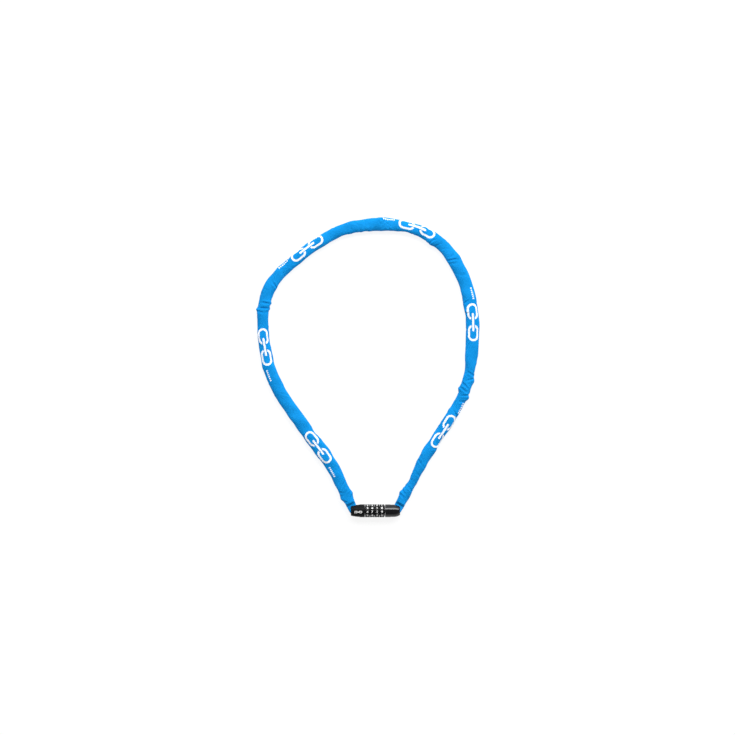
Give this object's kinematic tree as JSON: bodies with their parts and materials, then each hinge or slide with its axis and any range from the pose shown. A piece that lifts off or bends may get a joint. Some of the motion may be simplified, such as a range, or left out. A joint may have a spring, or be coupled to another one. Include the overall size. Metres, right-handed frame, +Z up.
{
  "type": "combination chain lock",
  "caption": "Chain lock: slim black barrel with number dials and a pull-out bolt, closing a loop of steel chain in a blue woven sleeve.",
  "frame": {"origin": "on the ground under the middle of the closed lock barrel", "axes": "+X along the barrel towards the pull-out bolt, +Y from the barrel into the loop of chain, +Z up"},
  "size_m": [0.3563, 0.4788, 0.0206],
  "materials": {
    "black_shell": "satin black moulded plastic",
    "black_dial": "matt black moulded plastic with white digits",
    "brass": "turned brass",
    "zinc_insert": "cast zinc alloy",
    "steel_parts": "turned steel",
    "spring_steel": "blued spring steel",
    "chain_steel": "zinc-plated steel wire",
    "blue_sleeve": "woven nylon"
  },
  "bodies": {
    "barrel": {"barrel_shell": "black_shell", "barrel_anchor": "zinc_insert", "barrel_link_pin": "steel_parts", "barrel_cross_pin": "steel_parts", "core_tube": "steel_parts", "end_plate": "black_dial", "dial_spacers": "black_dial", "detent_spring_1": "spring_steel", "detent_spring_2": "spring_steel", "detent_spring_3": "spring_steel", "detent_spring_4": "spring_steel", "end_link_barrel_side": "chain_steel", "chain_barrel_side": "chain_steel", "sleeve_barrel_side": "blue_sleeve"},
    "bolt": {"bolt_head_shell": "black_shell", "bolt_anchor": "zinc_insert", "bolt_link_pin": "steel_parts", "bolt_cross_pin": "steel_parts", "bolt_shaft": "steel_parts", "end_link_bolt_side": "chain_steel", "chain_bolt_side": "chain_steel", "sleeve_bolt_side": "blue_sleeve"},
    "dial_1": {"dial_1": "black_dial", "code_ring_1": "brass"},
    "dial_2": {"dial_2": "black_dial", "code_ring_2": "brass"},
    "dial_3": {"dial_3": "black_dial", "code_ring_3": "brass"},
    "dial_4": {"dial_4": "black_dial", "code_ring_4": "brass"}
  },
  "joints": [
    {"name": "bolt_slide", "type": "slide", "parent": "barrel", "child": "bolt", "axis": [1, 0, 0], "range_m": [0, 0.036]},
    {"name": "dial_1_turn", "type": "hinge", "parent": "barrel", "child": "dial_1", "pos_m": [-0.01275, 0, 0.0103], "axis": [1, 0, 0], "continuous": true, "deforming": ["detent_spring_1"]},
    {"name": "dial_2_turn", "type": "hinge", "parent": "barrel", "child": "dial_2", "pos_m": [-0.00505, 0, 0.0103], "axis": [1, 0, 0], "continuous": true, "deforming": ["detent_spring_2"]},
    {"name": "dial_3_turn", "type": "hinge", "parent": "barrel", "child": "dial_3", "pos_m": [0.00265, 0, 0.0103], "axis": [1, 0, 0], "continuous": true, "deforming": ["detent_spring_3"]},
    {"name": "dial_4_turn", "type": "hinge", "parent": "barrel", "child": "dial_4", "pos_m": [0.01035, 0, 0.0103], "axis": [1, 0, 0], "continuous": true, "deforming": ["detent_spring_4"]}
  ]
}
